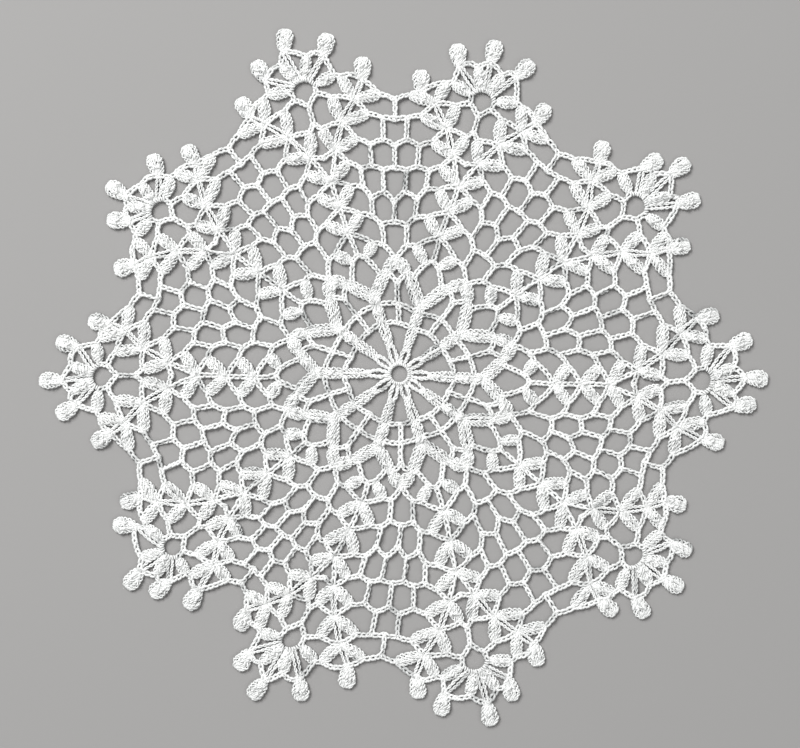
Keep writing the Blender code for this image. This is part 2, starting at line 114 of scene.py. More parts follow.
ROOT_GAP = 0.4                 # the hole left where a leaf starts

# one loop drawn over a treble: (along, in half lengths; across, in leans; up, in mm)
LOOP_SHAPE = ((-1, -1, -0.25), (-0.55, -0.75, 0.42), (0, 0, 0.62), (0.55, 0.75, 0.42), (1, 1, -0.25))
LOOP_HALF = 0.75               # half its length
LOOP_LEAN = 0.52               # how far it leans to each side
LOOP_THREAD = 0.95             # share of the thread's radius
LOOP_FREE = 0.1                # share of a treble's length at each end that stays free of loops
LOOP_PLACE = (0.3, 0.7)        # where in its own part of the treble each loop may lie

# knots, and the wound roots of the trebles round a fan's eye, in mm
KNOT_POINTS = 13
KNOT_RISE = 0.30               # how far its thread goes up and down
KNOT_SIZE = 0.78               # radius of most knots, and of those that differ
KNOT_SIZES = {"petal": 1.0, "vee": 0.6, "eye_a": 0.6}
KNOTLESS = ("hub", "hub_gap", "spoke_a", "spoke_b", "spoke_c", "fork", "band_a", "band_c", "base_2",
            "base_3", "base_4", "fork_1", "fork_2", "fork_3", "eye_b", "eye_c", "eye_d", "eye_e", "top")
WRAP_PITCH = 0.85              # from one wind to the next
WRAP_HALF = 0.62               # from the chain's middle to the middle of the thread wound over it
WRAP_LIFT = 0.2                # how far the winds lie over the chain's height
WRAP_FLAT = 0.8                # height of a wind, as a share of its width

# the centre: a ring wound over with thread, and spokes that start as two legs each, in mm
HUB_WINDS = 30
HUB_THICK = 0.42               # from the ring's middle to the middle of the thread wound over it
HUB_LIFT = 0.15                # how far the ring lies over the chains' height
HUB_TONE = 0.6
LEG_ROOT = 0.95                # how far out the legs start, as a share of the ring's reach
LEG_KNEE = 3.4                 # how far out from the ring they stand widest
LEG_SPREAD = (0.5, 1.1, 0.62)  # half the distance between the legs at root, knee and ankle
ANKLE_LAP = 1.5                # how far a spoke's solid part laps over its paired legs
ROW_LAP = 0.2                  # how far two rows of a spoke lap over each other

# half the width of each kind of stitch, as (share of its length, half width in mm)
WIDTHS = {
    "chain": ((0.0, 0.95), (1.0, 0.95)),
    "post": ((0.0, 0.95), (1.0, 0.95)),
    "ring": ((0.0, 0.75), (1.0, 0.75)),
    "wrap": ((0.0, 0.85), (1.0, 0.85)),
    "spoke": ((0.0, 1.75), (1.0, 1.75)),
    "band": ((0.0, 1.75), (1.0, 1.75)),
    "leaf": ((0.0, 1.0), (0.2, 1.75), (0.5, 2.15), (0.85, 2.05), (1.0, 1.5)),
    "fan": ((0.0, 0.9), (0.25, 1.6), (0.6, 2.1), (0.85, 1.95), (1.0, 1.3)),
    "bobble": ((0.0, 1.6), (0.25, 2.5), (0.7, 3.0), (0.92, 2.2), (1.0, 1.3)),
    "cap": ((0.0, 0.8), (0.6, 1.7), (1.0, 0.7)),
    "leg": ((0.0, 0.7), (1.0, 0.7)),
    "ankle": ((0.0, 1.2), (0.3, 1.55), (0.8, 1.9), (1.0, 1.65)),
    "row": ((0.0, 1.7), (0.5, 2.05), (1.0, 1.75)),
    "block": ((0.0, 1.6), (0.25, 2.2), (0.75, 2.25), (1.0, 1.6)),
    "twin": ((0.0, 1.1), (0.4, 1.3), (1.0, 1.1)),
}
# how each kind of cluster is worked: the kind that its width is taken from, trebles side by side, points
# along each, height of its ends and what its middle rises by in mm, turns of winding, and loops over each
CLUSTERS = {
    "leaf": ("leaf", 4, 19, BED, 0.6, 3.0, 1),
    "fan": ("fan", 4, 22, BED, 0.6, 3.4, 2),
    "bobble": ("bobble", 5, 18, BED, 0.5, 2.9, 1),
    "cap": ("cap", 2, 16, BED, 1.5, 2.6, 1),
    "twin": ("twin", 2, 19, RAISED, 0.3, 3.0, 0),
    "leg": ("leg", 2, 16, BED, 0.1, 2.3, 0),
    "ankle": ("ankle", 3, 20, BED, 0.4, 3.3, 1),
    "long row": ("row", 4, 15, BED, 0.4, 2.2, 1),
    "short row": ("row", 4, 8, BED, 0.4, 1.0, 1),
    "low block": ("block", 4, 23, BED, 0.4, 3.5, 1),
    "high block": ("block", 4, 17, BED, 0.4, 2.4, 1),
}

# half of one repeat: stitch points, as (turn from the stem, reach from the centre)
POINTS = {
    # ring, spokes and petals
    "hub": (STEM, 3.4), "hub_gap": (GAP, 3.4),
    "spoke_a": (STEM, 10.3), "spoke_b": (STEM, 17.8), "spoke_c": (STEM, 24.0), "fork": (STEM, 26.3),
    "arch_b": (GAP, 17.4), "arch_c": (GAP, 24.0), "arch_d": (GAP, 31.1),
    "band_a": (9.6, 33.0), "band_b": (12.2, 35.1), "band_c": (14.9, 37.1), "petal": (GAP, 39.1),
    # leaf clusters up the stem
    "heel": (3.2, 39.9), "base_1": (STEM, 41.4), "tip_1": (8.8, 44.6),
    "base_2": (STEM, 49.2), "tip_2": (6.3, 55.1), "base_3": (STEM, 58.8), "tip_3": (5.0, 65.8),
    "base_4": (STEM, 68.9), "tip_4": (5.7, 73.9),
    # the two branches
    "link": (STEM, 77.0), "fork_1": (3.1, 78.3), "outer_1": (8.8, 81.4), "inner_1": (1.3, 86.2),
    "join": (STEM, 88.6), "fork_2": (6.0, 87.2), "outer_2": (12.0, 89.6), "inner_2": (4.9, 95.8),
    "fork_3": (9.4, 94.7), "outer_3": (14.8, 96.4), "inner_3": (7.5, 102.6),
    "side_foot": (11.6, 100.9), "side_arch": (9.7, 103.2),
    # the fan
    "vee": (STEM, 94.3), "eye_a": (2.2, 98.0), "eye_b": (2.4, 101.1), "eye_d": (1.55, 103.0),
    "eye_e": (0.7, 103.7), "eye_c": (STEM, 103.9),
    "fan_out": (6.3, 103.4), "fan_in": (2.3, 111.0), "wing_foot": (5.9, 109.1),
    "wing_arch": (4.2, 112.0), "crown_foot": (STEM, 114.9),
    # net
    "a_low": (13.0, 44.1), "a_high": (13.2, 51.0),
    "b_low": (10.5, 54.0), "b_high": (10.8, 60.5), "b_low_gap": (GAP, 52.0), "b_high_gap": (GAP, 58.8),
    "c_low": (8.7, 64.6), "c_high": (8.9, 71.1), "c_low_gap": (14.8, 62.6), "c_high_gap": (14.8, 70.1),
    "d_low": (12.0, 71.8), "d_high": (12.0, 79.0), "d_low_gap": (GAP, 70.8), "d_high_gap": (GAP, 78.3),
    "e_low": (15.2, 80.7), "e_high": (15.2, 88.2), "f_low": (GAP, 87.6), "rim": (GAP, 94.4),
}

# stitches between the points
STITCHES = {
    "ring": [("hub", "hub_gap")],
    "spoke": [("spoke_a", "spoke_b"), ("spoke_b", "spoke_c"), ("spoke_c", "fork")],
    "band": [("fork", "band_a"), ("band_a", "band_b"), ("band_b", "band_c"), ("band_c", "petal")],
    "leaf": [("heel", "tip_1"), ("base_2", "tip_2"), ("base_3", "tip_3"), ("base_4", "tip_4"),
             ("fork_1", "outer_1"), ("fork_1", "inner_1"), ("fork_2", "outer_2"), ("fork_2", "inner_2"),
             ("fork_3", "outer_3"), ("fork_3", "inner_3"), ("eye_b", "fan_out")],
    "fan": [("eye_e", "fan_in")],
    "twin": [("eye_d", "wing_foot"), ("eye_c", "crown_foot"), ("fork_1", "fork_2"), ("fork_2", "fork_3"),
             ("fork_3", "side_foot")],
    "post": [("arch_b", "arch_c"), ("arch_c", "arch_d"), ("base_1", "base_2"), ("base_2", "base_3"),
             ("base_3", "base_4"), ("base_4", "fork_1"),
             ("a_low", "a_high"), ("b_low", "b_high"), ("b_low_gap", "b_high_gap"),
             ("c_low", "c_high"), ("c_low_gap", "c_high_gap"), ("d_low", "d_high"),
             ("d_low_gap", "d_high_gap"), ("e_low", "e_high"), ("f_low", "rim")],
    "chain": [("spoke_b", "arch_b"), ("spoke_c", "arch_c"), ("band_b", "arch_d"), ("band_a", "heel"),
              ("heel", "base_1"), ("tip_1", "base_2"), ("tip_1", "a_low"), ("a_low", "petal"),
              ("tip_2", "base_3"), ("tip_2", "b_low"), ("b_low", "a_high"), ("a_high", "b_low_gap"),
              ("tip_3", "base_4"), ("tip_3", "c_low"), ("c_low", "b_high"), ("b_high", "c_low_gap"),
              ("c_low_gap", "b_high_gap"), ("tip_4", "fork_1"), ("fork_1", "link"), ("tip_4", "c_high"),
              ("c_high", "d_low"), ("d_low", "c_high_gap"), ("c_high_gap", "d_low_gap"),
              ("outer_1", "fork_2"), ("inner_1", "fork_2"), ("inner_1", "join"), ("outer_1", "d_high"),
              ("d_high", "e_low"), ("e_low", "d_high_gap"), ("join", "vee"), ("vee", "eye_a"),
              ("eye_a", "inner_2"), ("inner_2", "fork_3"), ("outer_2", "fork_3"), ("outer_2", "e_high"),
              ("e_high", "f_low"), ("outer_3", "side_foot"), ("side_foot", "side_arch"),
              ("side_arch", "inner_3"), ("outer_3", "rim"), ("eye_a", "eye_b"),
              ("fan_out", "inner_3"), ("fan_out", "wing_foot"), ("wing_foot", "wing_arch"),
              ("wing_arch", "fan_in"), ("fan_in", "crown_foot")],
    "wrap": [("eye_b", "eye_d"), ("eye_d", "eye_e"), ("eye_e", "eye_c")],
}

# how far short of its point a chain or post stops, in mm: at a spoke's or band's edge, or at a stem's hole
STOP_SHORT = {"spoke_b": 1.3, "spoke_c": 1.3, "band_a": 1.3, "band_b": 1.3, "base_2": 0.5, "base_3": 0.5,
              "base_4": 0.5, "fork_1": 0.5, "fork_2": 0.5, "fork_3": 0.5}

# unevenness of the ten stems: how far each leans (degrees), and how far it is pushed out (mm), at
# five reaches
STEM_REACH = (26.0, 49.0, 69.0, 95.0, 123.0)
STEM_LEAN = (
    (-0.8, -1.5, -0.5, -1.0, -1.4), (3.5, 2.0, 1.7, 0.8, -0.2), (3.7, 3.8, 3.0, 1.3, 1.0),
    (0.0, 1.3, 2.2, 2.0, 1.5), (-0.2, 0.0, 2.0, 3.3, 3.1), (-1.7, -2.0, 1.5, 3.5, 7.0),
    (1.7, -1.0, -1.3, -1.2, -1.9), (1.0, -1.5, -0.3, -0.3, -1.2), (0.3, -0.3, 0.0, -1.5, -2.4),
    (-0.5, -2.0, -1.5, -0.7, -0.5),
)
STEM_PUSH = (
    (-2.7, -0.5, -1.8, -2.4, -3.4), (-1.4, -1.2, -1.1, -1.4, 0.3), (2.1, 4.0, 3.0, 3.4, 3.4),
    (0.3, 2.3, 2.3, 1.7, 0.0), (-1.4, -0.1, 1.3, 1.0, 2.1), (-0.3, -3.6, -2.8, -3.1, 0.0),
    (1.0, -2.9, -2.2, -2.4, -3.4), (2.1, 0.2, 0.2, 2.1, 0.7), (-0.3, -0.1, 0.6, -0.7, -2.7),
    (1.0, 1.9, 0.6, 2.1, 2.1),
)
# the same push in the gaps between the stems, the first gap being the one before stem 0
GAP_REACH = (39.0, 52.0, 95.0)
GAP_PUSH = (
    (0.0, 0.0, -0.7), (-1.0, -2.1, -1.7), (0.7, -0.7, 2.1), (1.0, 3.4, 1.0), (0.0, 0.3, 3.4),
    (-0.7, -0.3, 2.1), (-1.0, -1.4, -5.1), (1.0, 0.0, -0.7), (-0.3, 0.0, -1.7), (0.7, 2.4, 2.1),
)
# the five bobbles of each fan, left to right, as (turn of the top from the even stem, reach of the
# top, lean from the straight outward line), in degrees and mm; they move the feet of the chart
BOBBLE_FEET = (("side_foot", -1), ("wing_foot", -1), ("crown_foot", 1), ("wing_foot", 1), ("side_foot", 1))
BOBBLES = (
    ((-13.9, 104.2, -5), (-8.0, 114.6, -15), (-1.7, 118.8, 0), (5.2, 116.1, 25), (10.9, 105.1, 5)),
    ((-12.7, 106.0, -30), (-3.5, 116.4, 10), (-0.3, 123.0, 0), (5.7, 119.1, 15), (12.1, 108.8, 15)),
    ((-10.5, 111.2, 0), (-5.8, 121.2, -15), (0.9, 126.1, 5), (4.7, 122.4, -15), (12.2, 113.6, 0)),
    ((-11.3, 108.0, -15), (-4.5, 117.1, -5), (1.2, 121.8, -10), (8.6, 118.6, 15), (11.9, 110.6, -10)),
    ((-7.4, 110.6, 15), (-1.1, 118.4, 10), (3.4, 124.4, 5), (11.3, 117.6, 20), (14.5, 111.2, -5)),
    ((-8.4, 109.0, -5), (-1.3, 116.8, -20), (6.7, 122.0, 15), (10.9, 115.3, 10), (14.1, 103.6, -10)),
    ((-11.9, 108.3, -10), (-5.7, 113.9, 5), (-2.2, 118.6, -15), (8.2, 110.7, 30), (11.0, 105.2, 5)),
    ((-13.0, 107.7, -20), (-7.1, 118.0, -25), (-1.1, 123.2, 0), (5.5, 117.9, 10), (9.8, 107.9, 0)),
    ((-16.0, 103.8, -35), (-8.2, 113.0, -25), (-3.0, 119.2, 0), (5.6, 113.1, 30), (10.9, 107.0, 15)),
    ((-12.1, 109.0, 0), (-6.8, 117.8, -5), (-0.2, 124.2, 25), (6.2, 118.9, 25), (11.5, 109.1, 10)),
)
BOBBLE_LENGTH = 7.7
# the chain arches beside the bobbles, as (middle, foot, cluster tip), and how far they rise, in mm;
# their middles follow the feet
ARCHES = (("wing_arch", "wing_foot", "fan_in"), ("side_arch", "side_foot", "inner_3"))
ARCH_RISE = 1.3

# the pieces that the stitches are gathered in, by how far out they lie
NET_PIECES = ((52.0, "net_petals"), (70.0, "net_inner"), (86.0, "net_outer"), (999.0, "net_rim"))
LEAF_PIECES = ((76.0, "leaves_inner"), (92.0, "leaves_outer"), (999.0, "leaves_rim"))

# flat ribbons under each stitch, where its inner threads lie, in mm; their nearly black colour is painted
# shade, seen through the holes between the threads
SHADE_SHEET_SECTION = ((-1, 0.30), (1, 0.30), (1, 0.60), (-1, 0.60))    # its corners, as (side, height)
SHADE_SHEET_INSET = 0.42            # how far they stay inside the stitch's edges
SHADE_SHEET_LEAST = 0.15            # the least half width
SHADE_SHEET_STEPS = {"leaf": 6, "fan": 6, "bobble": 8}
PLAIN_STEPS = 2                # along the other kinds of stitch
BOBBLE_SHADE_SHEET = 0.97           # how far up a bobble they go, as a share

# the tone of each thread, from 0 dark to 1 light, and the painted shade that darkens it down its sides and
# for each mm that it lies below the top ones
TONE = 0.55
TONE_SPREAD = 0.12
TONE_LIMITS = (0.2, 0.9)
SIDE_SHADE = 0.08
DEPTH_SHADE = 1.30
SHADE_TOP = 0.95               # from this height up a thread gets no painted shade for depth

# cotton
COTTON_SURFACE = {"Metallic": 0.0, "Sheen Weight": 0.25, "Sheen Roughness": 0.5, "Specular IOR Level": 0.35}
# the thread's colours at the ends of its tone; the dark end is reached mostly where painted shade lowers
# the tone
THREAD_LIGHT = (0.94, 0.95, 0.94, 1)
THREAD_DARK_AND_SHADE = (0.07, 0.08, 0.08, 1)
THREAD_RELIEF = 0.5
# the nearly black cotton of the ribbons under the stitches: painted shade, not the thread's own colour
SHADE_SHEET_LIGHT = (0.03, 0.033, 0.033, 1)
SHADE_SHEET_DARK = (0.015, 0.017, 0.017, 1)
SHADE_SHEET_RELIEF = 0.3
LIGHT_FROM = 0.85              # tone from which a thread is fully light
PLIES = 2
PLY_PITCH = 1.1                # mm of thread for one turn of its plies
FIBRE_SCALE = 5200.0           # of the noise that stands for fibres, a metre
FIBRE_SHARE = 0.5              # height of the fibres, as a share of the plies'
FIBRE_ROUGH = (0.62, 0.88)     # roughness from fibre to fibre
FIBRE_DETAIL = 3.0
PATCH_SCALE = 420.0            # of the noise that makes the thread uneven in tone
PATCH_DETAIL = 2.0
PATCH_SHARE = 0.6              # how much tone it adds at most
RELIEF_DEPTH = 0.00006         # metres

# the floor, the lamps as (name, place, width of the square, watts) and the camera, in metres
FLOOR_COLOUR = (0.36, 0.355, 0.35, 1)
FLOOR_ROUGHNESS = 0.9
FLOOR_SIZE = 12.0
WORLD_STRENGTH = 0.27
LAMPS = (("key", (-0.84, 1.00, 1.36), 1.0, 38.8), ("fill", (1.0, -0.7, 1.4), 1.6, 7.2))
VIEW_WIDTH = 0.2736            # of table across the picture
VIEW_CENTRE = (-0.00127, 0.00120, 0.001)    # the camera looks straight down at it
LENS = 70.0                    # mm, as the sensor
SENSOR = 36.0
NEAREST = 0.01                 # what is nearer to the camera isn't seen

rng = np.random.default_rng(SEED)


# ---------------------------------------------------------------- the chart

def along(reaches, values, reach):
    """Read a table between its reaches; inside the first one it fades to nothing at the centre."""
    if reach <= reaches[0]:
        return values[0] * reach / reaches[0]
    for low, high, before, after in zip(reaches, reaches[1:], values, values[1:]):
        if reach <= high:
            return before + (after - before) * (reach - low) / (high - low)
    return values[-1]


def smooth_step(values, share):
    """Catmull-Rom curve between the middle two of four values."""
    a, b, c, d = values
    return (b + 0.5 * share * (c - a + share * (2 * a - 5 * b + 4 * c - d
                                                + share * (3 * b - a - 3 * c + d))))


def polar(turn, reach):
    angle = math.radians(turn)
    return np.array((reach * math.sin(angle), reach * math.cos(angle)))


def place(stem, turn, reach):
    """Uneven place of a chart point beside one stem; a negative turn is to its left."""
    whole = math.floor(turn / SECTOR)
    lean_reach = max(reach, STEM_REACH[0])
    leans = [along(STEM_REACH, STEM_LEAN[(stem + whole + step) % REPEATS], lean_reach)
             for step in (-1, 0, 1, 2)]
    lean = smooth_step(leans, turn / SECTOR - whole)
    near_stem = 0.5 + 0.5 * math.cos(math.pi * turn / GAP)
    gap = (stem + (turn > 0)) % REPEATS
    push = (near_stem * along(STEM_REACH, STEM_PUSH[stem], reach)
            + (1 - near_stem) * along(GAP_REACH, GAP_PUSH[gap], reach))
    return polar(SECTOR * (stem + 0.5) + turn + lean, reach + push)


def stitch_key(name, stem, side):
    """A point on the stem or in a gap is shared by the two halves that meet there."""
    turn = POINTS[name][0]
    if turn == STEM:
        return (name, stem, "stem")
    if turn == GAP:
        return (name, (stem + (side > 0)) % REPEATS, "gap")
    return (name, stem, side)


def work_chart():
    """All stitch points, and the stitches between them as {(from, to): kind}."""
    points = {}
    stitches = {}
    for stem in range(REPEATS):
        for side in (-1, 1):
            for name, (turn, reach) in POINTS.items():
                points.setdefault(stitch_key(name, stem, side), place(stem, side * turn, reach))
            for kind, pairs in STITCHES.items():
                for start, end in pairs:
                    stitches[(stitch_key(start, stem, side), stitch_key(end, stem, side))] = kind
        for (foot, side), (turn, reach, lean) in zip(BOBBLE_FEET, BOBBLES[stem]):
            foot_key = stitch_key(foot, stem, side)
            top = polar(SECTOR * (stem + 0.5) + turn, reach)
            points[foot_key] = top - polar(SECTOR * (stem + 0.5) + turn + lean, BOBBLE_LENGTH)
            points[("top", foot_key)] = top
            stitches[(foot_key, ("top", foot_key))] = "bobble"
        for side in (-1, 1):
            for arch, foot, tip in ARCHES:
                spot = (points[stitch_key(foot, stem, side)] + points[stitch_key(tip, stem, side)]) / 2
                points[stitch_key(arch, stem, side)] = spot * (1 + ARCH_RISE / np.linalg.norm(spot))
    return points, stitches


def half_width(kind, share):
    """Half the width of a kind of stitch, at any shares of its length."""
    shares, halves = zip(*WIDTHS[kind])
    return np.interp(share, shares, halves)


# ---------------------------------------------------------------- thread

class Threads:
    """The threads of one piece, kept by how many points they have, and swept into one mesh."""

    def __init__(self):
        self.runs = defaultdict(list)

    def lay(self, path, radius, tone):
        self.runs[len(path)].append((path, np.broadcast_to(radius, (len(path),)), tone))

    def mesh(self, name):
        swept = []
        first = 0
        for _, runs in sorted(self.runs.items()):
            paths, radii, tones = (np.array(column) for column in zip(*runs))
            swept.append(sweep(paths, radii, tones, first))
            first += radii.size * SIDES
        return make_mesh(name, *(np.concatenate(column) for column in zip(*swept)))


def sweep(paths, radii, thread_tones, first):
    """Tubes along paths of equally many points, as corners, loops, face sizes, UVs and tones.

    Their corners are numbered from first on.
    """
    many, count = radii.shape
    turn = CIRCLE * np.arange(SIDES) / SIDES
    ahead = unit(np.gradient(paths, axis=1))
    side = carry_side(ahead)
    other = np.cross(ahead, side)
    outward = np.cos(turn)[:, None] * side[:, :, None] + np.sin(turn)[:, None] * other[:, :, None]
    rings = paths[:, :, None] + radii[:, :, None, None] * outward
    # painted shade: a corner's tone is lowered the more its side faces down and the lower it lies below
    # SHADE_TOP
    below = np.clip(SHADE_TOP - rings[..., 2], 0, SHADE_TOP)
    tones = thread_tones[:, None, None] - (SIDE_SHADE * (1 - outward[..., 2]) + DEPTH_SHADE * below)

    corner = first + np.arange(many * count * SIDES).reshape(many, count, SIDES)
    beside = np.roll(corner, -1, axis=2)
    quads = np.stack((corner[:, :-1], beside[:, :-1], beside[:, 1:], corner[:, 1:]), axis=-1)
    caps = np.concatenate((corner[:, 0, ::-1], corner[:, -1]))
    loops = np.concatenate((quads.reshape(-1), caps.reshape(-1)))
    totals = np.concatenate((np.full(quads.size // 4, 4), np.full(len(caps), SIDES)))
    uvs = np.concatenate((tube_uvs(paths), np.zeros((caps.size, 2))))
    return rings.reshape(-1, 3), loops, totals, uvs, tones.reshape(-1)


def carry_side(ahead):
    """A sideways direction at every point, carried along each path without turning round it."""
    side = np.zeros_like(ahead)
    steep = np.abs(ahead[:, 0, 2:3]) >= STEEP
    side[:, 0] = unit(np.cross(ahead[:, 0], np.where(steep, (1.0, 0.0, 0.0), (0.0, 0.0, 1.0))))
    for step in range(1, ahead.shape[1]):
        carried = side[:, step - 1]
        side[:, step] = unit(carried - (carried * ahead[:, step]).sum(1, keepdims=True) * ahead[:, step])
    return side


def tube_uvs(paths):
    """UVs of the tubes' quads: millimetres along the thread, and share of the way round it."""
    many, count = paths.shape[:2]
    steps = np.linalg.norm(np.diff(paths, axis=1), axis=2)
    run = np.concatenate((np.zeros((many, 1)), np.cumsum(steps, axis=1)), axis=1)
    shape = (many, count - 1, SIDES)
    low = np.broadcast_to(run[:, :-1, None], shape)
    high = np.broadcast_to(run[:, 1:, None], shape)
    here = np.broadcast_to(np.arange(SIDES) / SIDES, shape)
    after = here + 1 / SIDES
    corners = [np.stack(pair, axis=-1) for pair in ((low, here), (low, after), (high, after), (high, here))]
    return np.stack(corners, axis=-2).reshape(-1, 2)


def make_mesh(name, spots, loops, totals, uvs, tones):
    """A mesh from flat arrays, with the spots moved from the chart's millimetres to the part's frame."""
    spots = spots - (*MIDDLE, 0.0)
    spots[:, 2] = np.maximum(spots[:, 2], LOWEST)
    data = bpy.data.meshes.new(name)
    data.vertices.add(len(spots))
    data.vertices.foreach_set("co", (spots * MM).astype(np.float32).ravel())
    data.loops.add(len(loops))
    data.loops.foreach_set("vertex_index", loops.astype(np.int32))
    starts = np.concatenate(([0], np.cumsum(totals)[:-1]))
    data.polygons.add(len(totals))
    data.polygons.foreach_set("loop_start", starts.astype(np.int32))
    layer = data.uv_layers.new(name="thread")
    data.update(calc_edges=True)
    layer.data.foreach_set("uv", uvs.astype(np.float32).ravel())
    tone = data.attributes.new("tone", "FLOAT", "POINT")
    tone.data.foreach_set("value", tones.astype(np.float32))
    data.shade_smooth()
    data.validate()
    return data


def unit(vectors):
    return vectors / np.maximum(np.linalg.norm(vectors, axis=-1, keepdims=True), TINY)


def new_tone():
    return float(np.clip(rng.normal(TONE, TONE_SPREAD), *TONE_LIMITS))


def new_phase():
    return rng.uniform(0, LAST_PHASE)


def wander(share, rate):
    """A slow wave with a rate and phase of its own."""
    return np.sin(rng.uniform(*rate) * share + new_phase())


# ---------------------------------------------------------------- stitches

def left_of(run):
    return np.array((-run[1], run[0]))


def bowed(start, end, bow):
    """A shallow arc, as a function that gives places and sideways directions at shares, and its length."""
    run = end - start
    length = np.linalg.norm(run)
    ahead = run / length
    across = left_of(ahead)

    def at(share):
        share = share[:, None]
        spot = start + run * share + across * bow * 4 * share * (1 - share)
        slope = unit(ahead + across * bow * 4 * (1 - 2 * share) / length)
        return spot, np.column_stack((-slope[:, 1], slope[:, 0]))

    return at, length


def outward_bow(start, end):
    """How far a chain bows, and to which side, so that it swells away from the doily's centre."""
    return ARCH_BOW * float(left_of(end - start) @ unit(start + end))


def chain(threads, start, end, pitch, bow, roll):
    """A chain of loops, each drawn through the one before."""
    at, length = bowed(start, end, bow)
    count = max(1, round(length / pitch))
    stitch = np.tile(CHAIN_STITCH, (count, 1))
    number = np.repeat(np.arange(count), len(CHAIN_STITCH))
    slack = 1 + rng.normal(0, CHAIN_SLACK, count)[number]
    share = (number + stitch[:, 0]) / count
    across = stitch[:, 1] * CHAIN_HALF * slack
    least, more = CHAIN_RISE
    up = stitch[:, 2] * CHAIN_THREAD * (least + more * rng.random(count))[number]
    rolls = roll + ROLL_SWING * np.sin(ROLL_RATE * share * count + new_phase())
    spot, side = at(share)
    flat = across * np.cos(rolls) - up * np.sin(rolls)
    height = across * np.sin(rolls) + up * np.cos(rolls)
    path = np.column_stack((spot + side * flat[:, None], BED + height))
    path += rng.normal(0, JITTER, path.shape)
    threads.lay(path, CHAIN_THREAD, new_tone())


def smooth_line(spots, samples):
    """Even samples of a Catmull-Rom curve through the spots."""
    spots = np.array(spots)
    if len(spots) == 2:
        return spots[0] + (spots[1] - spots[0]) * np.linspace(0, 1, samples)[:, None]
    padded = np.vstack((2 * spots[0] - spots[1], spots, 2 * spots[-1] - spots[-2]))
    shares = np.linspace(0, 1, CURVE_STEPS, endpoint=False)
    fine = [smooth_step(padded[index:index + 4], share)
            for index in range(len(spots) - 1) for share in shares]
    fine = np.vstack((fine, spots[-1:]))
    length = np.concatenate(([0], np.cumsum(np.linalg.norm(np.diff(fine, axis=0), axis=1))))
    even = np.linspace(0, length[-1], samples)
    return np.column_stack((np.interp(even, length, fine[:, 0]), np.interp(even, length, fine[:, 1])))


def cluster(threads, spots, kind):
    """Trebles worked side by side along a line, gathered or spread as their kind's profile says.

    Each is two strands wound round each other, with loops of the same thread drawn over it.
    """
    profile, trebles, samples, rest, lift, turns, loops = CLUSTERS[kind]
    line = smooth_line(spots, samples)
    share = np.linspace(0, 1, samples)
    ahead = unit(np.gradient(line, axis=0))
    side = np.column_stack((-ahead[:, 1], ahead[:, 0]))
    room = np.maximum(half_width(profile, share) - TREBLE_HALF, LEAST_ROOM)
    arch = np.sin(math.pi * share) ** SHOULDER
    length = np.linalg.norm(np.diff(line, axis=0), axis=1).sum()
    phase = new_phase()
    for number in range(trebles):
        aside = -1 + 2 * number / (trebles - 1)
        across = aside * room + rng.normal(0, STRAY) * arch
        height = rest + lift * arch * (1 - OUTER_DROP * aside ** 2)
        across = across + SWAY * arch * wander(share, SWAY_RATE)
        height = height + HEAVE * arch * wander(share, SWAY_RATE)
        twist = CIRCLE * (turns * (1 + rng.normal(0, TURN_SPREAD)) * share) + phase
        twist = twist + STAGGER[0] * number + rng.normal(0, STAGGER[1])
        twist = twist + TWIST_SWAY * wander(share, TWIST_RATE)
        swell = PLY_OFFSET * (PLY_SWELL[0] + PLY_SWELL[1] * arch + PLY_RIPPLE * np.cos(3 * twist))
        if trebles > 2 and abs(aside) == 1:
            swell = swell * EDGE_SWELL
        tone = new_tone()
        for strand in (0, math.pi):
            offset = across + swell * np.cos(twist + strand)
            up = height + PLY_RISE * swell * np.sin(twist + strand)
            path = np.column_stack((line + side * offset[:, None], up))
            threads.lay(path, THREAD * (PLY_THREAD[0] + PLY_THREAD[1] * arch), tone)
        for loop in range(loops):
            middle = (loop + rng.uniform(*LOOP_PLACE)) / loops * (1 - 2 * LOOP_FREE) + LOOP_FREE
            loop_over(threads, share, (line, side, across, height), middle, LOOP_HALF / length)


def loop_over(threads, share, treble, middle, half):
    """A loop drawn slantwise over a treble, which is given by its line, sides, offsets and heights."""
    ahead, aside, hump = np.array(LOOP_SHAPE).T
    at = np.clip(middle + half * ahead, 0, 1)
    x, y, side_x, side_y, across, height = (np.interp(at, share, column)
                                            for column in np.column_stack(treble).T)
    offset = across + LOOP_LEAN * aside * rng.choice((-1, 1))
    path = np.column_stack((x + side_x * offset, y + side_y * offset, height + hump))
    threads.lay(path, THREAD * LOOP_THREAD, new_tone())


def knot(threads, spot, size):
    """A small round knot where stitches meet: a trefoil."""
    turn = np.linspace(0, CIRCLE, KNOT_POINTS) + new_phase()
    around = size * (np.sin(turn) + 2 * np.sin(2 * turn)) / 3
    beside = size * (np.cos(turn) - 2 * np.cos(2 * turn)) / 3
    up = RAISED - KNOT_RISE * np.sin(3 * turn)
    threads.lay(np.column_stack((spot[0] + around, spot[1] + beside, up)), THREAD, new_tone())


def wrap(threads, start, end):
    """Roots of the fan's trebles, wound over the chain that they are worked into."""
    run = end - start
    length = np.linalg.norm(run)
    winds = max(1, round(length / WRAP_PITCH))
    share = np.linspace(0, 1, winds * WIND_POINTS + 1)
    turn = CIRCLE * winds * share
    spot = start + run * share[:, None] + left_of(run) / length * (WRAP_HALF * np.cos(turn))[:, None]
    up = BED + WRAP_LIFT + WRAP_FLAT * WRAP_HALF * np.sin(turn)
    threads.lay(np.column_stack((spot, up)), THREAD, new_tone())


def ring(threads):
    """The ring at the centre, wound over with thread."""
    turn = np.linspace(0, CIRCLE, HUB_WINDS * WIND_POINTS + 1)
    wind = HUB_WINDS * turn
    reach = POINTS["hub"][1] + HUB_THICK * np.cos(wind)
    up = BED + HUB_LIFT + HUB_THICK * np.sin(wind)
    threads.lay(np.column_stack((reach * np.sin(turn), reach * np.cos(turn), up)), THREAD, HUB_TONE)


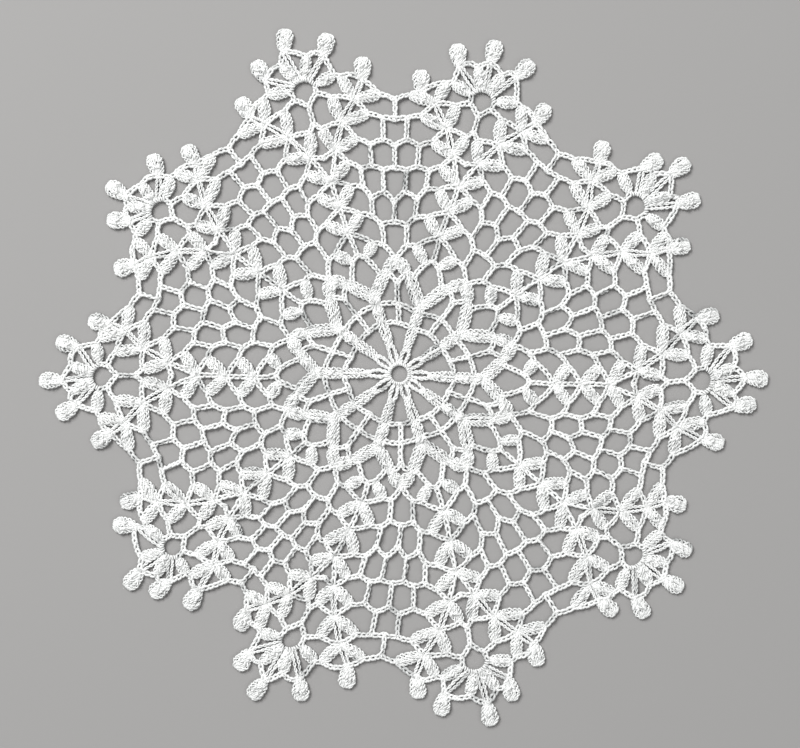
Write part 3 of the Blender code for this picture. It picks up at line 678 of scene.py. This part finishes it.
def spoke(threads, hub, ankle, low, high, fork):
    """Two legs from the ring, then a solid ankle and two rows of trebles above it."""
    ahead = unit(ankle - hub)
    across = left_of(ahead)
    for sign in (-1, 1):
        root, knee, foot = (across * sign * spread for spread in LEG_SPREAD)
        cluster(threads, (hub * LEG_ROOT + root, hub + ahead * LEG_KNEE + knee, ankle + foot), "leg")
    cluster(threads, (ankle - ahead * ANKLE_LAP, low), "ankle")
    for start, end, kind in ((low, high, "long row"), (high, fork, "short row")):
        lap = unit(end - start) * ROW_LAP
        cluster(threads, (start - lap, end + lap), kind)


def rosette(threads, points):
    """The ring, the spokes and the petals' bands."""
    ring(threads)
    for stem in range(REPEATS):
        spoke(threads, *(points[stitch_key(name, stem, 1)]
                         for name in ("hub", "spoke_a", "spoke_b", "spoke_c", "fork")))
        for side in (-1, 1):
            fork, low, middle, high, tip = (points[stitch_key(name, stem, side)]
                                            for name in ("fork", "band_a", "band_b", "band_c", "petal"))
            cluster(threads, (fork, low, middle), "low block")
            cluster(threads, (middle, high, tip), "high block")


def piece_for(table, reach):
    return next(name for limit, name in table if reach < limit)


def stopped_short(key, spot, other):
    """Where a chain or post really ends, on its way from another spot to this point."""
    return spot + unit(other - spot) * STOP_SHORT.get(key[0], 0.0)


def lay_stitches(points, stitches):
    """Every stitch of the chart, gathered in pieces."""
    pieces = defaultdict(Threads)
    for (start_key, end_key), kind in stitches.items():
        start, end = points[start_key], points[end_key]
        reach = np.linalg.norm(start + end) / 2
        net, leaves = piece_for(NET_PIECES, reach), piece_for(LEAF_PIECES, reach)
        if kind in ("chain", "post"):
            start, end = stopped_short(start_key, start, end), stopped_short(end_key, end, start)
        if kind == "chain":
            chain(pieces[net], start, end, CHAIN_PITCH, outward_bow(start, end), rng.normal(0, CHAIN_ROLL))
        elif kind == "post":
            chain(pieces[net], start, end, POST_PITCH, rng.normal(0, POST_BOW), rng.normal(0, POST_ROLL))
        elif kind == "leaf":
            cluster(pieces[leaves], (start + unit(end - start) * ROOT_GAP, end), kind)
        elif kind == "twin":
            cluster(pieces[net], (start, end), kind)
        elif kind == "wrap":
            wrap(pieces["fans"], start, end)
        elif kind == "fan":
            cluster(pieces["fans"], (start, end), kind)
        elif kind == "bobble":
            cluster(pieces["bobbles"], (start, end), kind)
            cluster(pieces["bobbles"], (start, end), "cap")
    rosette(pieces["rosette"], points)
    for key, spot in points.items():
        if key[0] not in KNOTLESS:
            net = piece_for(NET_PIECES, np.linalg.norm(spot))
            knot(pieces[net], spot, KNOT_SIZES.get(key[0], KNOT_SIZE))
    return pieces


def lay_shade_sheet(points, stitches):
    """Flat closed ribbons under each stitch, in place of its inner threads, to be coloured nearly black as
    painted shade.
    """
    ribbons = []
    first = 0
    for (start_key, end_key), kind in stitches.items():
        start, end = points[start_key], points[end_key]
        at, _ = bowed(start, end, outward_bow(start, end) if kind == "chain" else 0.0)
        share = np.linspace(0, 1, SHADE_SHEET_STEPS.get(kind, PLAIN_STEPS) + 1)
        if kind == "bobble":
            share = share * BOBBLE_SHADE_SHEET
        half = np.maximum(half_width(kind, share) - SHADE_SHEET_INSET, SHADE_SHEET_LEAST)
        spot, side = at(share)
        rings = np.stack([np.column_stack((spot + sign * side * half[:, None], np.full(len(share), height)))
                          for sign, height in SHADE_SHEET_SECTION], axis=1)
        corner = first + np.arange(rings.size // 3).reshape(rings.shape[:2])
        beside = np.roll(corner, -1, axis=1)
        quads = np.stack((corner[:-1], corner[1:], beside[1:], beside[:-1]), axis=-1).reshape(-1)
        loops = np.concatenate((quads, corner[0], corner[-1, ::-1]))
        ribbons.append((rings.reshape(-1, 3), loops, np.full(len(loops) // 4, 4), np.zeros((len(loops), 2)),
                        np.full(corner.size, new_tone())))
        first += corner.size
    return make_mesh("doily_shade_sheet", *(np.concatenate(column) for column in zip(*ribbons)))


# ---------------------------------------------------------------- materials

def node(tree, kind, **values):
    """A shader node with some of its settings or inputs set."""
    made = tree.nodes.new(kind)
    for name, value in values.items():
        if hasattr(made, name):
            setattr(made, name, value)
        else:
            made.inputs[name.replace("_", " ")].default_value = value
    return made


def computed(tree, operation, *terms):
    """The result of a Math node; each term is a number or another node's output."""
    made = node(tree, "ShaderNodeMath", operation=operation)
    for socket, term in zip(made.inputs, terms):
        if isinstance(term, float):
            socket.default_value = term
        else:
            tree.links.new(term, socket)
    return made.outputs[0]


def noise(tree, scale, detail):
    """A noise that is fixed to the piece."""
    spot = node(tree, "ShaderNodeTexCoord")
    made = node(tree, "ShaderNodeTexNoise", Scale=scale, Detail=detail)
    tree.links.new(spot.outputs["Object"], made.inputs["Vector"])
    return made.outputs["Fac"]


def cotton(name, light, dark, relief):
    """Cotton thread: plies that wind round it, fine fibres, and thread that is a little uneven in tone."""
    material = bpy.data.materials.new(name)
    material.use_nodes = True
    tree = material.node_tree
    shader = tree.nodes["Principled BSDF"]
    for setting, value in COTTON_SURFACE.items():
        shader.inputs[setting].default_value = value
    link = tree.links.new

    uv = node(tree, "ShaderNodeUVMap", uv_map="thread")
    thread = node(tree, "ShaderNodeSeparateXYZ")
    link(uv.outputs["UV"], thread.inputs["Vector"])
    wound = computed(tree, "MULTIPLY", thread.outputs["X"], CIRCLE / PLY_PITCH)
    angle = computed(tree, "MULTIPLY_ADD", thread.outputs["Y"], CIRCLE * PLIES, wound)
    ply = computed(tree, "SINE", angle)
    fibre = noise(tree, FIBRE_SCALE, FIBRE_DETAIL)
    patch = noise(tree, PATCH_SCALE, PATCH_DETAIL)

    # the tone attribute holds each thread's own tone, lowered by painted shade on the threads' lower sides
    # and deep parts
    tone = node(tree, "ShaderNodeAttribute", attribute_name="tone")
    uneven = computed(tree, "MULTIPLY_ADD", patch, PATCH_SHARE, tone.outputs["Fac"])
    ramp = node(tree, "ShaderNodeValToRGB")
    ramp.color_ramp.interpolation = "EASE"
    for stop, position, colour in zip(ramp.color_ramp.elements, (0.0, LIGHT_FROM), (dark, light)):
        stop.position = position
        stop.color = colour
    link(uneven, ramp.inputs["Fac"])
    link(ramp.outputs["Color"], shader.inputs["Base Color"])

    rough = node(tree, "ShaderNodeMapRange", To_Min=FIBRE_ROUGH[0], To_Max=FIBRE_ROUGH[1])
    link(fibre, rough.inputs["Value"])
    link(rough.outputs["Result"], shader.inputs["Roughness"])

    bump = node(tree, "ShaderNodeBump", Strength=relief, Distance=RELIEF_DEPTH)
    link(computed(tree, "MULTIPLY_ADD", fibre, FIBRE_SHARE, ply), bump.inputs["Height"])
    link(bump.outputs["Normal"], shader.inputs["Normal"])
    return material


def pale_floor():
    material = bpy.data.materials.new("pale_floor")
    material.use_nodes = True
    shader = material.node_tree.nodes["Principled BSDF"]
    shader.inputs["Base Color"].default_value = FLOOR_COLOUR
    shader.inputs["Roughness"].default_value = FLOOR_ROUGHNESS
    return material


# ---------------------------------------------------------------- the scene

def set_camera():
    data = bpy.data.cameras.new("camera")
    data.lens = LENS
    data.sensor_width = SENSOR
    data.clip_start = NEAREST
    camera = bpy.data.objects.new("camera", data)
    x, y, level = VIEW_CENTRE
    camera.location = (x, y, level + VIEW_WIDTH * LENS / SENSOR)
    bpy.context.scene.collection.objects.link(camera)
    bpy.context.scene.camera = camera


def set_light():
    bpy.context.scene.view_settings.view_transform = "Standard"
    world = bpy.data.worlds.new("studio")
    world.use_nodes = True
    background = world.node_tree.nodes["Background"]
    background.inputs["Color"].default_value = (1, 1, 1, 1)
    background.inputs["Strength"].default_value = WORLD_STRENGTH
    bpy.context.scene.world = world
    for name, spot, width, power in LAMPS:
        data = bpy.data.lights.new(name, "AREA")
        data.shape = "SQUARE"
        data.size = width
        data.energy = power
        lamp = bpy.data.objects.new(name, data)
        lamp.location = spot
        x, y, z = spot
        lamp.rotation_euler = (math.atan2(math.hypot(x, y), z), 0, math.atan2(x, -y))
        bpy.context.scene.collection.objects.link(lamp)


def add_piece(name, data, material):
    data.materials.append(material)
    piece = bpy.data.objects.new(name, data)
    bpy.context.scene.collection.objects.link(piece)
    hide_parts("doily")
    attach(piece, "root")
    return piece


def main():
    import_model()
    points, stitches = work_chart()
    thread_cotton = cotton("white_cotton", THREAD_LIGHT, THREAD_DARK_AND_SHADE, THREAD_RELIEF)
    # nearly black cotton that paints the shade seen in the holes between the threads
    shade_sheet_cotton = cotton("painted_shade_cotton", SHADE_SHEET_LIGHT, SHADE_SHEET_DARK, SHADE_SHEET_RELIEF)
    pieces = [add_piece(name, threads.mesh(name), thread_cotton)
              for name, threads in lay_stitches(points, stitches).items()]
    # the ribbons under the stitches, in nearly black painted shade
    shade_sheet = add_piece("doily_shade_sheet", lay_shade_sheet(points, stitches), shade_sheet_cotton)

    bpy.ops.mesh.primitive_plane_add(size=FLOOR_SIZE, location=(0, 0, 0))
    floor = bpy.context.object
    floor.name = "floor"
    floor.data.materials.append(pale_floor())
    set_light()
    set_camera()


main()
